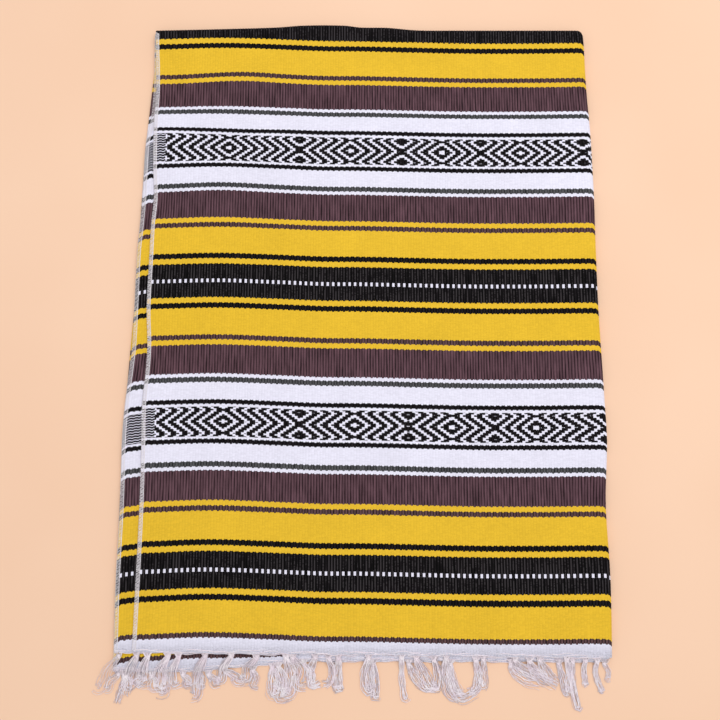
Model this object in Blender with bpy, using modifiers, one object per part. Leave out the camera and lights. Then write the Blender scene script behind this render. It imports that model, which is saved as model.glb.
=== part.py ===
"""A woven striped blanket with knotted fringe, folded in four and lying flat."""
import math
from collections import namedtuple

import bmesh
import bpy
from mathutils import Matrix, Vector

MM = 0.001

# Cloth: four layers lie on each other, each a woven wall of this thickness.
CLOTH = 2.6
SEAM_GAP = 0.3
EDGE_ROUND = 0.7
HIDDEN_STACK = 3 * CLOTH
LAYER_GROOVE = 0.05
SMOOTH_ANGLE = 40.0
CLOTH_YELLOW = (0.78, 0.51, 0.05)
CLOTH_BROWN = (0.09, 0.05, 0.06)
FRINGE_WHITE = (0.83, 0.8, 0.78)

# Folds of the top layer: how far each bulges past the flat cloth, how much it rises and
# where; then how the hidden layers' own folds nest inside them.
FOLD_REACH_RIGHT = 6.5
FOLD_REACH_TOP = 4.5
FOLD_RISE_RIGHT = 0.8
FOLD_RISE_TOP = 1.4
RISE_RUN = 26.0
RISE_MIDDLE = 10.0
FOLD_RINGS = 7
LIP_RUN = 1.4
CORNER_RADIUS = 4.0
RIM_LEAN = 1.0
LIP_LIFT_START = 830.0
NEST_DEPTH = 3.2
NEST_CENTRE = 5.3
NEST_HALF_HEIGHT = 2.45
NEST_END = 820.0
NEST_END_RUN = 30.0
LOWER_FOLD_INSET = 3.0

# Plan of the packet in millimetres: x runs across it from the top layer's left edge, and
# y runs up it from the top layer's hem to the fold.
SideEdge = namedtuple("SideEdge", "y top_left second_left fold_right")
SIDE_EDGES = [
    SideEdge(-40, -2, -26, 642),
    SideEdge(100, 0, -28, 646),
    SideEdge(200, 1, -27, 644),
    SideEdge(290, 1, -29, 650),
    SideEdge(380, 3, -23, 648),
    SideEdge(470, 6, -18, 646),
    SideEdge(560, 7, -19, 646),
    SideEdge(650, 6, -14, 647),
    SideEdge(740, 5, -9, 646),
    SideEdge(810, 3, -4, 642),
    SideEdge(870, 1, -2, 641),
    SideEdge(930, 0, -1, 638),
]

FoldEdge = namedtuple("FoldEdge", "x y")
TOP_FOLD = [
    FoldEdge(0, 904.5),
    FoldEdge(60, 906),
    FoldEdge(120, 907.5),
    FoldEdge(180, 909.5),
    FoldEdge(220, 912.5),
    FoldEdge(280, 912.5),
    FoldEdge(305, 909.5),
    FoldEdge(345, 909),
    FoldEdge(390, 905),
    FoldEdge(450, 904.5),
]

# One row for each layer: its node's place in the stack, how far its left edge lies inside
# the second layer's, and the height of its hem at the left and right ends.
Layer = namedtuple("Layer", "name level left_inset hem_left hem_right")
TOP = Layer("top", 3, 0.0, 6.5, -1.5)
SECOND = Layer("second", 2, 0.0, 4.5, -3.0)
THIRD = Layer("third", 1, -1.0, -19.0, -6.0)
BOTTOM = Layer("bottom", 0, 1.5, -21.5, -8.5)
HEM_SPAN = (-28.0, 640.0)

# The hems of the two upper layers run straight across. Those of the two lower layers hang
# level at the left, rise, and run level again: the share of the rise reached at each place.
HemRise = namedtuple("HemRise", "x share")
LOWER_HEM_RISE = [
    HemRise(-28, 0.0),
    HemRise(40, 0.0),
    HemRise(90, 0.14),
    HemRise(150, 0.5),
    HemRise(200, 0.84),
    HemRise(240, 1.0),
    HemRise(640, 1.0),
]
RIGHT_END = 630.0

# Low swells of the cloth on its flat stack.
Swell = namedtuple("Swell", "x y half_x half_y height")
SWELLS = [
    Swell(130, 420, 110, 330, 0.9),
    Swell(385, 480, 105, 340, -0.5),
    Swell(560, 560, 120, 260, 0.5),
    Swell(240, 860, 120, 110, 0.6),
]

# The columns and rows shared by the top layer and the layers under it.
COLUMNS = [40, 90, 150, 200, 240, 280, 330, 390, 450, 505, 560, 605]
ROWS = [45, 100, 150, 200, 245, 290, 335, 380, 425, 470, 515, 560, 605, 650, 695, 740, 775,
        810, 840, 870]
CORNER_STEPS = [1.0, 0.4, 0.0]

# Fringe: each cluster holds a knotted tassel of three hems out of the four, each hem in its
# own lane. Its tips lean and spread sideways from its knots, and lie at tip_y.
Cluster = namedtuple("Cluster", "x lean spread tip_y")
CLUSTERS = [
    Cluster(-19, -15, 14, -61),
    Cluster(3, -10, 6, -52),
    Cluster(21, -7, 4, -50),
    Cluster(44, -5, 8, -49),
    Cluster(63, -2, 5, -47),
    Cluster(94, -9, 8, -54),
    Cluster(130, 4, 10, -45),
    Cluster(160, 5, 8, -44),
    Cluster(192, -1, 16, -52),
    Cluster(226, 4, 8, -45),
    Cluster(252, 2, 6, -43),
    Cluster(275, 1, 4, -44),
    Cluster(322, 2, 12, -54),
    Cluster(362, 1, 4, -55),
    Cluster(395, 2, 18, -47),
    Cluster(440, 4, 22, -56),
    Cluster(520, 8, 14, -40),
    Cluster(556, 6, 10, -46),
    Cluster(582, 3, 6, -66),
    Cluster(603, 2, 2, -37),
    Cluster(621, 2, 2, -49),
]
LANES = {"top": -5.1, "third": -1.7, "second": 1.7, "bottom": 5.1}
LANE_SPAN = 13.6
HEMS = 4
STRIP_DEPTH = 2.0
STRIP_HALF_HEIGHT = 1.0
STRIP_MARGIN = 1.0
TASSEL_HALF = 1.7
KNOT_HALF = 2.3
KnotSection = namedtuple("KnotSection", "out half_width half_height")
KNOT = [
    KnotSection(1.4, TASSEL_HALF, 0.9),
    KnotSection(3.6, KNOT_HALF, 1.1),
    KnotSection(6.0, 1.5, 0.7),
]

# Strands: half their width, how high they lie, where they drop to the floor, and how their
# runs wave and their tips differ in length.
STRAND_HALF = 0.6
TIP_HALF = 0.35
STRAND_REST = 0.95
TIP_REST = 0.85
BRINK_OUT = 4.5
DROP_RUN = 12.0
LEAST_LIE = 4.0
WAVE_REACH = 1.6
WAVE_TURN = 3.2
WAVE_SHIFT = 0.07
TIP_STAGGER = 2.5
TIP_TURN = 2.3


def along(table, key, value, at):
    """Straight-line reading of one column of a table, carried on past its ends."""
    last = len(table) - 2
    step = 0
    while step < last and getattr(table[step + 1], key) < at:
        step += 1
    low, high = table[step], table[step + 1]
    share = (at - getattr(low, key)) / (getattr(high, key) - getattr(low, key))
    return getattr(low, value) * (1 - share) + getattr(high, value) * share


def top_fold(x):
    """Outermost line of the top fold; level beyond the table's ends."""
    inside = min(max(x, TOP_FOLD[0].x), TOP_FOLD[-1].x)
    return along(TOP_FOLD, "x", "y", inside)


def hem(layer, x):
    """Height of a layer's hem."""
    share = (x - HEM_SPAN[0]) / (HEM_SPAN[1] - HEM_SPAN[0])
    if layer in (THIRD, BOTTOM):
        share = along(LOWER_HEM_RISE, "x", "share", x)
    return layer.hem_left * (1 - share) + layer.hem_right * share


def swell(x, y):
    """Rise of the cloth above its flat height."""
    rise = 0.0
    for bump in SWELLS:
        across = (x - bump.x) / bump.half_x
        up = (y - bump.y) / bump.half_y
        rise += bump.height * math.exp(-across * across - up * up)
    return rise


def stack_scale(x, y):
    """How much the swells stretch the stack's heights."""
    return 1.0 + swell(x, y) / HIDDEN_STACK


def ease(share):
    """Smooth step from 0 to 1."""
    share = min(max(share, 0.0), 1.0)
    return share * share * (3 - 2 * share)


def left_edge(layer, y):
    """Left edge of a layer at a height."""
    if layer is TOP:
        return along(SIDE_EDGES, "y", "top_left", y)
    return along(SIDE_EDGES, "y", "second_left", y) + layer.left_inset


def flat_right(y):
    """Where the flat cloth ends and the right fold begins."""
    return along(SIDE_EDGES, "y", "fold_right", y) - FOLD_REACH_RIGHT


def flat_top(x):
    """Where the flat cloth ends and the top fold begins."""
    return top_fold(x) - FOLD_REACH_TOP


def plan_sizes():
    """Number of columns and rows of faces in the shared plan."""
    corner = len(CORNER_STEPS)
    return len(COLUMNS) + corner, len(ROWS) + 2 + corner


def plan_point(layer, column, row, inset=0.0, right_out=0.0, top_out=0.0):
    """One crossing of the shared plan, with the packet's corner rounded."""
    x = COLUMNS[column - 1] if 1 <= column <= len(COLUMNS) else None
    guess_x = x if x is not None else (0.0 if column == 0 else RIGHT_END)
    if row == 0:
        y = hem(layer, guess_x) + inset
    elif row <= len(ROWS):
        y = ROWS[row - 1]
    else:
        top_steps = [RISE_RUN, RISE_MIDDLE] + [CORNER_RADIUS * step for step in CORNER_STEPS]
        step = top_steps[row - len(ROWS) - 1]
        y = flat_top(guess_x) + top_out - step
    if column == 0:
        x = left_edge(layer, y) + inset
    elif x is None:
        step = CORNER_STEPS[column - len(COLUMNS) - 1]
        x = flat_right(y) + right_out - CORNER_RADIUS * step
    corner_x = flat_right(y) + right_out - CORNER_RADIUS
    corner_y = flat_top(guess_x) + top_out - CORNER_RADIUS
    across = (x - corner_x) / CORNER_RADIUS
    up = (y - corner_y) / CORNER_RADIUS
    if across > 0 and up > 0:
        x = corner_x + CORNER_RADIUS * across * math.sqrt(1 - up * up / 2)
        y = corner_y + CORNER_RADIUS * up * math.sqrt(1 - across * across / 2)
    return x, y


def fold_rise(x, y):
    """Extra height of the top layer close to its two folds."""
    right = FOLD_RISE_RIGHT * ease(1 - (flat_right(y) - x) / RISE_RUN)
    top = FOLD_RISE_TOP * ease(1 - (flat_top(x) - y) / RISE_RUN)
    return max(right, top)


def lip_height(x, y):
    """Where the top layer's fold ends: on the floor at the right, mid-stack at the top."""
    mid_stack = 2 * CLOTH * stack_scale(x, y) + SEAM_GAP
    if flat_right(y) - x > CORNER_RADIUS:
        return mid_stack
    lift_end = flat_top(x) - CORNER_RADIUS
    return mid_stack * ease((y - LIP_LIFT_START) / (lift_end - LIP_LIFT_START))


def grid_mesh():
    """A flat grid with one face for each cell of the plan; its vertices keep their cell."""
    columns, rows = plan_sizes()
    mesh = bmesh.new()
    cell = mesh.verts.layers.float_vector.new("cell")
    bmesh.ops.create_grid(mesh, x_segments=columns, y_segments=rows, size=0.5)
    for vert in mesh.verts:
        vert[cell] = ((vert.co.x + 0.5) * columns, (vert.co.y + 0.5) * rows, 0)
    return mesh, cell


def cell_of(vert, cell):
    """Column and row of a vertex."""
    return round(vert[cell].x), round(vert[cell].y)


def finish(mesh, name, colour):
    """Turn a bmesh in millimetres into a named object with its own material."""
    bmesh.ops.scale(mesh, vec=(MM, MM, MM), verts=mesh.verts)
    data = bpy.data.meshes.new(name)
    mesh.to_mesh(data)
    mesh.free()
    data.shade_smooth()
    data.set_sharp_from_angle(angle=math.radians(SMOOTH_ANGLE))
    material = bpy.data.materials.new(name)
    material.use_nodes = True
    shader = material.node_tree.nodes["Principled BSDF"]
    shader.inputs["Base Color"].default_value = (*colour, 1)
    shader.inputs["Roughness"].default_value = 0.9
    shader.inputs["Metallic"].default_value = 0
    data.materials.append(material)
    piece = bpy.data.objects.new(name, data)
    parts.objects.link(piece)
    return piece


def make_top_panel():
    """Top layer: one wall, flat on the stack and rolled over its top and right folds."""
    mesh, cell = grid_mesh()
    columns, rows = plan_sizes()
    normals = {}
    for vert in mesh.verts:
        column, row = cell_of(vert, cell)
        x, y = plan_point(TOP, column, row)
        lift = HIDDEN_STACK + swell(x, y) + SEAM_GAP + CLOTH + fold_rise(x, y)
        vert.co = (x, y, lift)
        corner_x = flat_right(y) - CORNER_RADIUS
        corner_y = flat_top(x) - CORNER_RADIUS
        outward = Vector((max(x - corner_x, 0), max(y - corner_y, 0), 0))
        if column == columns and row < rows:
            outward.x = max(outward.x, RIM_LEAN)
        if row == rows and column < columns:
            outward.y = max(outward.y, RIM_LEAN)
        normals[(column, row)] = outward.normalized() if outward.length else outward
    rim = [edge for edge in mesh.edges if edge.is_boundary and (
        all(cell_of(vert, cell)[0] == columns for vert in edge.verts)
        or all(cell_of(vert, cell)[1] == rows for vert in edge.verts))]
    base = {cell_of(vert, cell): vert.co.copy() for edge in rim for vert in edge.verts}
    for ring in range(1, FOLD_RINGS + 2):
        turn = math.pi * min(ring / FOLD_RINGS, 1)
        lip_run = LIP_RUN * (1 - math.cos(turn)) / 2 if ring <= FOLD_RINGS else 0
        grown = bmesh.ops.extrude_edge_only(mesh, edges=rim)["geom"]
        rim = [item for item in grown if isinstance(item, bmesh.types.BMEdge)]
        for vert in (item for item in grown if isinstance(item, bmesh.types.BMVert)):
            start = base[cell_of(vert, cell)]
            outward = normals[cell_of(vert, cell)]
            reach = FOLD_REACH_RIGHT * outward.x ** 2 + FOLD_REACH_TOP * outward.y ** 2
            away = (reach - LIP_RUN / 2) * math.sin(turn) + lip_run
            lip = lip_height(start.x, start.y)
            drop = (start.z - lip) * (1 - math.cos(turn)) / 2
            vert.co = start + outward * away - Vector((0, 0, drop))
    panel = finish(mesh, "top_panel", CLOTH_YELLOW)
    wall = panel.modifiers.new("cloth", "SOLIDIFY")
    wall.thickness = CLOTH * MM
    wall.offset = -1
    wall.use_even_offset = True
    return panel


def nested(z, y):
    """How far the inner fold reaches into the outer one at a height."""
    lifted = ease((NEST_END - y) / NEST_END_RUN)
    height = (z - NEST_CENTRE) / NEST_HALF_HEIGHT
    return NEST_DEPTH * lifted * math.sqrt(max(1 - height * height, 0))


def hidden_rings():
    """The edges of the three hidden layers from the top down: layer, height and inset."""
    rings = []
    for layer in (SECOND, THIRD, BOTTOM):
        high = (layer.level + 1) * CLOTH
        low = layer.level * CLOTH + (0 if layer is BOTTOM else LAYER_GROOVE)
        rings += [(layer, high, EDGE_ROUND), (layer, high - EDGE_ROUND, 0.0),
                  (layer, low + EDGE_ROUND, 0.0), (layer, low, EDGE_ROUND)]
    return rings


def ring_point(layer, height, inset, column, row):
    """A point of a hidden layer's edge."""
    right_out = -SEAM_GAP
    top_out = -SEAM_GAP
    if layer is not BOTTOM:
        y = plan_point(layer, column, row)[1]
        right_out += nested(height, y)
    if layer is not SECOND:
        half = CLOTH
        round_off = half - math.sqrt(max(half * half - (height - half) ** 2, 0))
        top_out = FOLD_REACH_TOP - LOWER_FOLD_INSET - round_off
    x, y = plan_point(layer, column, row, inset, right_out, top_out)
    return Vector((x, y, height * stack_scale(x, y)))


def make_folded_layers():
    """The three layers under the top one: a stack with a groove between their edges."""
    mesh, cell = grid_mesh()
    rings = hidden_rings()
    for vert in mesh.verts:
        vert.co = ring_point(*rings[0], *cell_of(vert, cell))
    rim = [edge for edge in mesh.edges if edge.is_boundary]
    for ring in rings[1:]:
        grown = bmesh.ops.extrude_edge_only(mesh, edges=rim)["geom"]
        rim = [item for item in grown if isinstance(item, bmesh.types.BMEdge)]
        for vert in (item for item in grown if isinstance(item, bmesh.types.BMVert)):
            vert.co = ring_point(*ring, *cell_of(vert, cell))
    bmesh.ops.holes_fill(mesh, edges=rim, sides=0)
    bmesh.ops.recalc_face_normals(mesh, faces=mesh.faces)
    return finish(mesh, "folded_layers", CLOTH_BROWN)


def layer_middle(layer, x, y):
    """Height of the middle of a layer."""
    middle = (layer.level + 0.5) * CLOTH * stack_scale(x, y)
    if layer is TOP:
        middle = HIDDEN_STACK + swell(x, y) + SEAM_GAP + CLOTH / 2
    return middle


def place_section(verts, centre, half_width, half_height):
    """Move the corners of a four-sided section, or of a pair of them, round a new centre."""
    old = sum((vert.co for vert in verts), Vector()) / len(verts)
    for vert in verts:
        side = (vert.co.x - old.x > 1e-4) - (vert.co.x - old.x < -1e-4)
        level = 1 if vert.co.z > old.z else -1
        vert.co = centre + Vector((side * half_width, 0, level * half_height))


def faces_verts(faces):
    """Every vertex of some faces, once."""
    return list({vert for face in faces for vert in face.verts})


def pull_out(mesh, faces):
    """Extrude faces as one block, and return the faces at its new end."""
    edges = list({edge for face in faces for edge in face.edges})
    grown = bmesh.ops.extrude_face_region(mesh, geom=faces + edges)["geom"]
    return [item for item in grown if isinstance(item, bmesh.types.BMFace)]


def strand_route(layer, cluster, lane):
    """Centres of one strand from just past its knot to its tip, in a lane of its own."""
    edge = hem(BOTTOM, cluster.x)
    brink = edge - BRINK_OUT
    floor_y = brink - DROP_RUN
    tip_y = min(cluster.tip_y, floor_y - LEAST_LIE)
    tip_y += TIP_STAGGER * math.sin(TIP_TURN * lane + cluster.x)

    def spot(y, z):
        share = (brink - y) / (brink - cluster.tip_y)
        wave = WAVE_REACH * math.sin(WAVE_TURN * share + WAVE_SHIFT * cluster.x) * share
        fan = lane * (1 + cluster.spread / LANE_SPAN * share)
        return Vector((cluster.x + fan + cluster.lean * share + wave, y, z))

    route = []
    if layer in (TOP, SECOND):
        lie = 2 * CLOTH * stack_scale(cluster.x, edge) + 2 * SEAM_GAP + STRAND_HALF
        route.append(spot(brink, lie))
    route.append(spot(floor_y, STRAND_REST))
    route.append(spot((floor_y + tip_y) / 2, STRAND_REST))
    route.append(spot(tip_y, TIP_REST))
    return route


def make_fringe(layer, number):
    """One hem's fringe: a narrow backing strip with two strands from each knot."""
    lane = LANES[layer.name]
    start_x = left_edge(layer, hem(layer, 0)) + EDGE_ROUND + STRIP_MARGIN
    end_x = flat_right(hem(layer, RIGHT_END)) - SEAM_GAP - EDGE_ROUND
    first_x = start_x + STRIP_MARGIN + KNOT_HALF
    tassels = [spot for index, spot in enumerate(CLUSTERS)
               if (index + number) % HEMS and spot.x + lane > first_x]
    stations = [start_x]
    for cluster in tassels:
        middle = cluster.x + lane
        stations += [middle - TASSEL_HALF, middle, middle + TASSEL_HALF]
    stations.append(end_x)
    if layer in (THIRD, BOTTOM):
        stations = sorted(stations + [turn.x for turn in LOWER_HEM_RISE[1:-1]])

    mesh = bmesh.new()
    corners = [mesh.verts.new((0, y, z)) for y, z in
               ((0, -STRIP_HALF_HEIGHT), (STRIP_DEPTH, -STRIP_HALF_HEIGHT),
                (STRIP_DEPTH, STRIP_HALF_HEIGHT), (0, STRIP_HALF_HEIGHT))]
    section = mesh.faces.new(corners)

    def move_section(face, x):
        """Set the strip's section down at a station, just off the edge of the hem."""
        front_y = hem(layer, x) - SEAM_GAP - STRIP_DEPTH
        middle = layer_middle(layer, x, front_y)
        old = face.calc_center_median()
        for vert in face.verts:
            deep = STRIP_DEPTH if vert.co.y > old.y else 0
            tall = STRIP_HALF_HEIGHT if vert.co.z > old.z else -STRIP_HALF_HEIGHT
            vert.co = (x, front_y + deep, middle + tall)

    move_section(section, stations[0])
    for x in stations[1:]:
        section = pull_out(mesh, [section])[0]
        move_section(section, x)
    bmesh.ops.recalc_face_normals(mesh, faces=mesh.faces)

    fronts = [face for face in mesh.faces if face.normal.y < -0.9]
    pairs = [[face for face in fronts
              if abs(face.calc_center_median().x - cluster.x - lane) < TASSEL_HALF]
             for cluster in tassels]
    for cluster, pair in zip(tassels, pairs):
        middle = cluster.x + lane
        root = sum((face.calc_center_median() for face in pair), Vector()) / 2
        for knot in KNOT:
            pair = pull_out(mesh, pair)
            centre = root - Vector((0, knot.out, 0))
            place_section(faces_verts(pair), centre, knot.half_width, knot.half_height)
        strands = bmesh.ops.extrude_discrete_faces(mesh, faces=pair)["faces"]
        for strand in strands:
            side = 1 if strand.calc_center_median().x > middle else -1
            route = strand_route(layer, cluster, lane + side * TASSEL_HALF / 2)
            for step, centre in enumerate(route):
                if step:
                    strand = bmesh.ops.extrude_discrete_faces(mesh, faces=[strand])["faces"][0]
                half = STRAND_HALF if step < len(route) - 1 else TIP_HALF
                place_section(strand.verts, centre, half, half)
    bmesh.ops.recalc_face_normals(mesh, faces=mesh.faces)
    return finish(mesh, "fringe_" + layer.name, FRINGE_WHITE)


def centre_on_floor(pieces):
    """Move the packet so that the origin is the middle of its box, on the floor."""
    corners = [vert.co for piece in pieces for vert in piece.data.vertices]
    middle = [(min(co[axis] for co in corners) + max(co[axis] for co in corners)) / 2
              for axis in (0, 1)]
    for piece in pieces:
        piece.data.transform(Matrix.Translation((-middle[0], -middle[1], 0)))


for old_object in list(bpy.data.objects):
    bpy.data.objects.remove(old_object, do_unlink=True)
parts = bpy.data.collections.new("blanket")
bpy.context.scene.collection.children.link(parts)

pieces = [make_top_panel(), make_folded_layers()]
for number, layer in enumerate((TOP, SECOND, THIRD, BOTTOM)):
    pieces.append(make_fringe(layer, number))
centre_on_floor(pieces)
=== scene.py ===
import math
import random
from collections import namedtuple

import bmesh
import bpy
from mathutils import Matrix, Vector


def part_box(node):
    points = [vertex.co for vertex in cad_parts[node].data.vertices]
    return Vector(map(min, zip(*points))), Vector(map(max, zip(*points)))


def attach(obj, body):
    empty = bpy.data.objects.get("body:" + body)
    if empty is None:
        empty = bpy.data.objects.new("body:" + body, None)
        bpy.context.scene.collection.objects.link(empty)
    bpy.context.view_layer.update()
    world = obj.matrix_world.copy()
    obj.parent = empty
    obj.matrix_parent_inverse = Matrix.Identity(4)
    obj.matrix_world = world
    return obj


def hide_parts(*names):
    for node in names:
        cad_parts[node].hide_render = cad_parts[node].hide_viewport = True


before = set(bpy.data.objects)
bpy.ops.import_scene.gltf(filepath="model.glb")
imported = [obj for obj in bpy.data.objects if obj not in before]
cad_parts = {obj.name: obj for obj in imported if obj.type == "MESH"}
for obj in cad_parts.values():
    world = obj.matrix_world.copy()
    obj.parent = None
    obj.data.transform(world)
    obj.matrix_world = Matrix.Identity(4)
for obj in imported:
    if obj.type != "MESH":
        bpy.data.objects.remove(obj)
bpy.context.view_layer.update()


# Bottom layer of the blanket: one quarter of a single width of weft-faced cotton cloth, woven in
# stripes over fat warp ribs, and lying flat on the floor. The three layers above it are made the
# same way, so the packet's plan, its ribs, its weaving and its dyed yarn are all set out here.
MM = 0.001
CLOTH = 2.6
WALL = 2.2
BOTTOM_WALL = 2.0
SEAM_GAP = 0.3
HIDDEN_STACK = 3 * CLOTH
LAYER_EASE = 0.15
RIB = 3.922
RIB_START = 1.07
RIB_DEPTH = 0.4
RIB_STEPS = 4
FOLD_REACH_RIGHT = 6.5
FOLD_REACH_TOP = 4.5
FOLD_RISE_RIGHT = 0.8
FOLD_RISE_TOP = 1.4
RISE_RUN = 26.0
CORNER_RADIUS = 4.0

# How far in from its sides a sheet's grid is drawn to follow them.
SIDE_RUN = 60.0
LOWER_SIDE_RUN = 300.0

# Rows of the grid: up from the hem, and down from the top fold. On the two lower layers they are
# closer together near the hem, where the lines bend, and wider apart beyond.
ROW_STEP = 24.0
ROW_COUNT = 36
LOWER_ROWS = [4.0, 12.0, 24.0, 60.0, 160.0, 240.0, 360.0, 480.0, 600.0, 720.0, 840.0]
TOP_STEPS = [26.0, 18.0, 10.0, 4.0, 1.6, 0.0]

# The plan is in millimetres: x from the top layer's left edge, y up from its hem to the fold.
SideEdge = namedtuple("SideEdge", "y top_left second_left fold_right")
SIDE_EDGES = [
    SideEdge(-40, -2, -26, 642),
    SideEdge(100, 0, -28, 646),
    SideEdge(200, 1, -27, 644),
    SideEdge(290, 0, -28, 650),
    SideEdge(340, -1, -26, 649),
    SideEdge(390, 2.5, -21.5, 648),
    SideEdge(425, 3, -19, 647),
    SideEdge(475, 0, -18.5, 646),
    SideEdge(560, 1, -18, 646),
    SideEdge(600, 1.5, -15.5, 646.5),
    SideEdge(640, 4, -13.5, 647),
    SideEdge(690, 1, -13, 646.5),
    SideEdge(730, 0, -11.5, 646),
    SideEdge(760, -0.5, -6, 645),
    SideEdge(800, 1, -3.5, 643),
    SideEdge(840, 0, -3.5, 642),
    SideEdge(880, -2.5, -4.5, 641),
    SideEdge(930, -3, -5, 638),
]
FoldEdge = namedtuple("FoldEdge", "x y")
TOP_FOLD = [
    FoldEdge(0, 904.5),
    FoldEdge(60, 906),
    FoldEdge(120, 907.5),
    FoldEdge(180, 909.5),
    FoldEdge(220, 912.5),
    FoldEdge(280, 912.5),
    FoldEdge(305, 909.5),
    FoldEdge(345, 909),
    FoldEdge(390, 905),
    FoldEdge(450, 904.5),
]
Layer = namedtuple("Layer", "name level left_inset hem_left hem_right ribs")
TOP = Layer("top", 3, 0.0, 6.5, -1.5, 162)
SECOND = Layer("second", 2, 0.0, 4.5, -3.0, 169)
THIRD = Layer("third", 1, -1.0, -19.0, -6.0, 169)
BOTTOM = Layer("bottom", 0, 1.5, -21.5, -8.5, 169)
HEM_SPAN = (-28.0, 640.0)
Wave = namedtuple("Wave", "height pitch turn")
HEM_WAVES = [Wave(0.5, 0.11, 2), Wave(0.35, 0.31, 1)]

# The two lower hems run level, rise and run level again.
HemRise = namedtuple("HemRise", "x share")
LOWER_HEM_RISE = [HemRise(-28, 0.0), HemRise(40, 0.0), HemRise(90, 0.14), HemRise(150, 0.5),
                  HemRise(200, 0.84), HemRise(240, 1.0), HemRise(640, 1.0)]

# The packet swells and sinks a little where the cloth is loose.
Swell = namedtuple("Swell", "x y half_x half_y height")
SWELLS = [
    Swell(130, 420, 110, 330, 0.9),
    Swell(385, 480, 105, 340, -0.5),
    Swell(560, 560, 120, 260, 0.5),
    Swell(240, 860, 120, 110, 0.6),
]

# Every woven line bows alike across the cloth, and each stripe as a whole lies a little above or
# below its nominal place. A few spots near the selvedge are tugged further.
LineBow = namedtuple("LineBow", "x lift")
LINE_BOW = [LineBow(10, 3.3), LineBow(100, 5.3), LineBow(190, 2.4), LineBow(250, 0.0),
            LineBow(310, -0.4), LineBow(460, -3.6), LineBow(560, -3.8), LineBow(610, -3.2)]
StripeShift = namedtuple("StripeShift", "y lift")
STRIPE_SHIFTS = [StripeShift(27, -4.0), StripeShift(73, -0.5), StripeShift(192, -2.5),
                 StripeShift(300, 0.0), StripeShift(369, 0.0), StripeShift(428, 2.5),
                 StripeShift(593, 1.0), StripeShift(652, 1.5), StripeShift(738, 3.0),
                 StripeShift(770, 0.0), StripeShift(829, -1.5), StripeShift(875, -0.5)]
TUGS = [
    Swell(10, 90, 50, 120, -1.2),
    Swell(100, 652, 60, 40, 1.5),
    Swell(10, 738, 50, 28, 3.5),
    Swell(130, 738, 50, 28, -1.8),
    Swell(30, 829, 50, 28, -2.2),
    Swell(140, 829, 45, 28, 2.2),
]

# The black band at the top fold is drawn a little wider.
TOP_BLACK = 889.0
TOP_BLACK_WIDENING = 0.68


def along(table, key, value, at):
    """Smooth reading of one column of a table, level beyond its ends."""
    keys = [getattr(row, key) for row in table]
    values = [getattr(row, value) for row in table]
    at = min(max(at, keys[0]), keys[-1])
    step = 0
    while step < len(keys) - 2 and keys[step + 1] < at:
        step += 1
    slopes = []
    for end in (step, step + 1):
        low, high = max(end - 1, 0), min(end + 1, len(keys) - 1)
        slopes.append((values[high] - values[low]) / (keys[high] - keys[low]))
    width = keys[step + 1] - keys[step]
    share = (at - keys[step]) / width
    square, cube = share ** 2, share ** 3
    return ((2 * cube - 3 * square + 1) * values[step]
            + (cube - 2 * square + share) * width * slopes[0]
            + (3 * square - 2 * cube) * values[step + 1]
            + (cube - square) * width * slopes[1])


def ease(share):
    """Smooth step from 0 to 1."""
    share = min(max(share, 0.0), 1.0)
    return share * share * (3 - 2 * share)


def waves(rows, x, number):
    """A few waves along x, each turned further by a number."""
    return sum(wave.height * math.sin(wave.pitch * x + wave.turn * number) for wave in rows)


def hem(layer, x):
    """Height of a layer's hem in the plan, a line pulled a little by its knots."""
    share = (x - HEM_SPAN[0]) / (HEM_SPAN[1] - HEM_SPAN[0])
    if layer in (THIRD, BOTTOM):
        share = along(LOWER_HEM_RISE, "x", "share", x)
    level = layer.hem_left * (1 - share) + layer.hem_right * share
    return level + waves(HEM_WAVES, x, layer.level)


def mound(bumps, x, y):
    """Height of a few soft bumps at a point."""
    return sum(bump.height * math.exp(-((x - bump.x) / bump.half_x) ** 2
                                      - ((y - bump.y) / bump.half_y) ** 2) for bump in bumps)


def swell(x, y):
    """Rise of the cloth above its flat height."""
    return mound(SWELLS, x, y)


def stack_scale(x, y):
    """How much the swells stretch the stack's heights."""
    return 1.0 + swell(x, y) / HIDDEN_STACK


def left_edge(layer, y):
    """Left edge of a layer at a height of the plan."""
    if layer is TOP:
        return along(SIDE_EDGES, "y", "top_left", y)
    return along(SIDE_EDGES, "y", "second_left", y) + layer.left_inset


def flat_right(y):
    """Where the flat cloth ends and the right fold begins."""
    return along(SIDE_EDGES, "y", "fold_right", y) - FOLD_REACH_RIGHT


def flat_top(x):
    """Where the flat cloth ends and the top fold begins."""
    return along(TOP_FOLD, "x", "y", x) - FOLD_REACH_TOP


def top_of(layer, x, y):
    """Height of a layer's upper face."""
    if layer is not TOP:
        return (layer.level + 1) * CLOTH * stack_scale(x, y) - LAYER_EASE
    right = FOLD_RISE_RIGHT * ease(1 - (flat_right(y) - x) / RISE_RUN)
    top = FOLD_RISE_TOP * ease(1 - (flat_top(x) - y) / RISE_RUN)
    return HIDDEN_STACK + swell(x, y) + SEAM_GAP + CLOTH + max(right, top)


def line_lift(x, y):
    """How far the woven lines near a point lie above their nominal place."""
    low = 0
    while low < len(STRIPE_SHIFTS) - 2 and STRIPE_SHIFTS[low + 1].y < y:
        low += 1
    first, second = STRIPE_SHIFTS[low:low + 2]
    share = min(max((y - first.y) / (second.y - first.y), 0), 1)
    return (along(LINE_BOW, "x", "lift", x) + mound(TUGS, x, y)
            + first.lift * (1 - share) + second.lift * share)


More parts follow.
